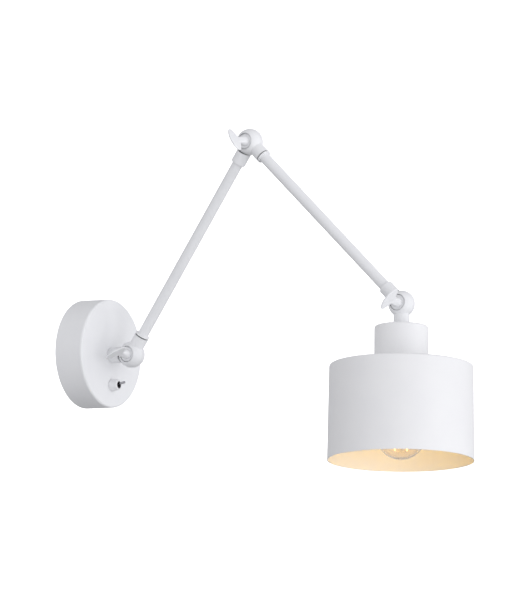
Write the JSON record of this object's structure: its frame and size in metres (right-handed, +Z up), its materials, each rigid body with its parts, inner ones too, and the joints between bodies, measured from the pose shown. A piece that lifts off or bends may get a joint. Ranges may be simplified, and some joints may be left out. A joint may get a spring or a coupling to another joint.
{
  "type": "swing arm wall sconce",
  "caption": "Wall lamp with a round canopy and toggle switch, jointed tube arms held by thumb screws, and a drum shade over a screw-base bulb.",
  "frame": {"origin": "centre of the canopy's mounting face on the wall", "axes": "+Y goes into the wall, +Z is up, and the lamp reaches out along -Y; the arms lie in the plane X = 0"},
  "size_m": [0.1655, 0.4969, 0.378],
  "materials": {
    "powder_coat": "satin white powder coat with a fine texture",
    "shade_coat": "satin white powder coat",
    "zinc_steel": "zinc-plated steel",
    "chrome": "polished chrome",
    "brass": "turned brass",
    "bulb_metal": "rolled cap",
    "black_plastic": "black thermoset, matte",
    "white_plastic": "natural nylon",
    "fibre": "vulcanised fibre",
    "wire_sleeve": "PVC insulation",
    "clear_glass": "clear",
    "filament": "glowing phosphor coating"
  },
  "bodies": {
    "wall_mount": {"wall_bracket": "zinc_steel", "earth_screw": "brass", "terminal_block": "white_plastic", "terminal_screws": "brass", "canopy": "powder_coat", "canopy_set_screws": "zinc_steel", "stem_knuckle": "powder_coat", "stem_washer": "zinc_steel", "stem_nut": "brass", "canopy_wires": "wire_sleeve", "switch_body": "black_plastic", "switch_lock_nut": "zinc_steel", "switch_bezel": "powder_coat", "switch_insert": "black_plastic", "base_friction_washer": "fibre", "base_pivot_nut": "zinc_steel"},
    "switch_toggle": {"switch_lever": "chrome"},
    "base_screw": {"base_face_washer": "powder_coat", "base_thumb_screw": "powder_coat"},
    "base_knuckle": {"lower_arm_base_knuckle": "powder_coat", "lower_arm_swivel_washer": "black_plastic", "lower_arm_grub_screw": "zinc_steel"},
    "lower_arm": {"lower_arm_lock_ring": "powder_coat", "lower_arm_tube": "powder_coat", "lower_arm_elbow_knuckle": "powder_coat", "lower_arm_wires": "wire_sleeve", "elbow_friction_washer": "fibre", "elbow_pivot_nut": "zinc_steel"},
    "elbow_screw": {"elbow_face_washer": "powder_coat", "elbow_thumb_screw": "powder_coat"},
    "elbow_knuckle": {"upper_arm_elbow_knuckle": "powder_coat", "upper_arm_swivel_washer": "black_plastic", "upper_arm_grub_screw": "zinc_steel"},
    "upper_arm": {"upper_arm_lock_ring": "powder_coat", "upper_arm_tube": "powder_coat", "upper_arm_head_knuckle": "powder_coat", "upper_arm_wires": "wire_sleeve", "head_friction_washer": "fibre", "head_pivot_nut": "zinc_steel"},
    "head_screw": {"head_face_washer": "powder_coat", "head_thumb_screw": "powder_coat"},
    "head": {"head_knuckle": "powder_coat", "cup": "shade_coat", "cup_washer": "zinc_steel", "cup_nut": "brass", "head_wires": "wire_sleeve", "lampholder_cap": "black_plastic", "lampholder_skirt": "black_plastic", "lampholder_insert": "white_plastic", "lampholder_thread": "brass", "lampholder_contact": "brass", "shade": "shade_coat", "shade_ring": "black_plastic", "bulb_cap": "bulb_metal", "bulb_contact": "bulb_metal", "bulb_glass": "clear_glass", "bulb_stem": "clear_glass", "bulb_filaments": "filament"}
  },
  "joints": [
    {"name": "base_tilt", "type": "hinge", "parent": "wall_mount", "child": "base_knuckle", "pos_m": [0, -0.0615, -0.002], "axis": [-1, 0, 0], "range_deg": [-110, 40]},
    {"name": "lower_arm_swivel", "type": "hinge", "parent": "base_knuckle", "child": "lower_arm", "pos_m": [0, -0.0615, -0.002], "axis": [0, -0.5621, 0.8271], "range_deg": [-90, 90]},
    {"name": "elbow_tilt", "type": "hinge", "parent": "lower_arm", "child": "elbow_knuckle", "pos_m": [0, -0.21607, 0.22545], "axis": [-1, 0, 0], "range_deg": [-7, 110]},
    {"name": "upper_arm_swivel", "type": "hinge", "parent": "elbow_knuckle", "child": "upper_arm", "pos_m": [0, -0.21607, 0.22545], "axis": [0, -0.7218, -0.6921], "range_deg": [-82, 98]},
    {"name": "head_tilt", "type": "hinge", "parent": "upper_arm", "child": "head", "pos_m": [0, -0.40951, 0.03995], "axis": [-0.9903, -0.0963, 0.1004], "range_deg": [-55, 120]},
    {"name": "base_screw_turn", "type": "hinge", "parent": "wall_mount", "child": "base_screw", "pos_m": [0, -0.0615, -0.002], "axis": [-1, 0, 0], "range_deg": [0, 270]},
    {"name": "elbow_screw_turn", "type": "hinge", "parent": "lower_arm", "child": "elbow_screw", "pos_m": [0, -0.21607, 0.22545], "axis": [-1, 0, 0], "range_deg": [0, 270]},
    {"name": "head_screw_turn", "type": "hinge", "parent": "upper_arm", "child": "head_screw", "pos_m": [0, -0.40951, 0.03995], "axis": [-0.9903, -0.0963, 0.1004], "range_deg": [0, 270]},
    {"name": "switch_flip", "type": "hinge", "parent": "wall_mount", "child": "switch_toggle", "pos_m": [0, -0.0388, -0.035], "axis": [1, 0, 0], "range_deg": [0, 24]}
  ]
}
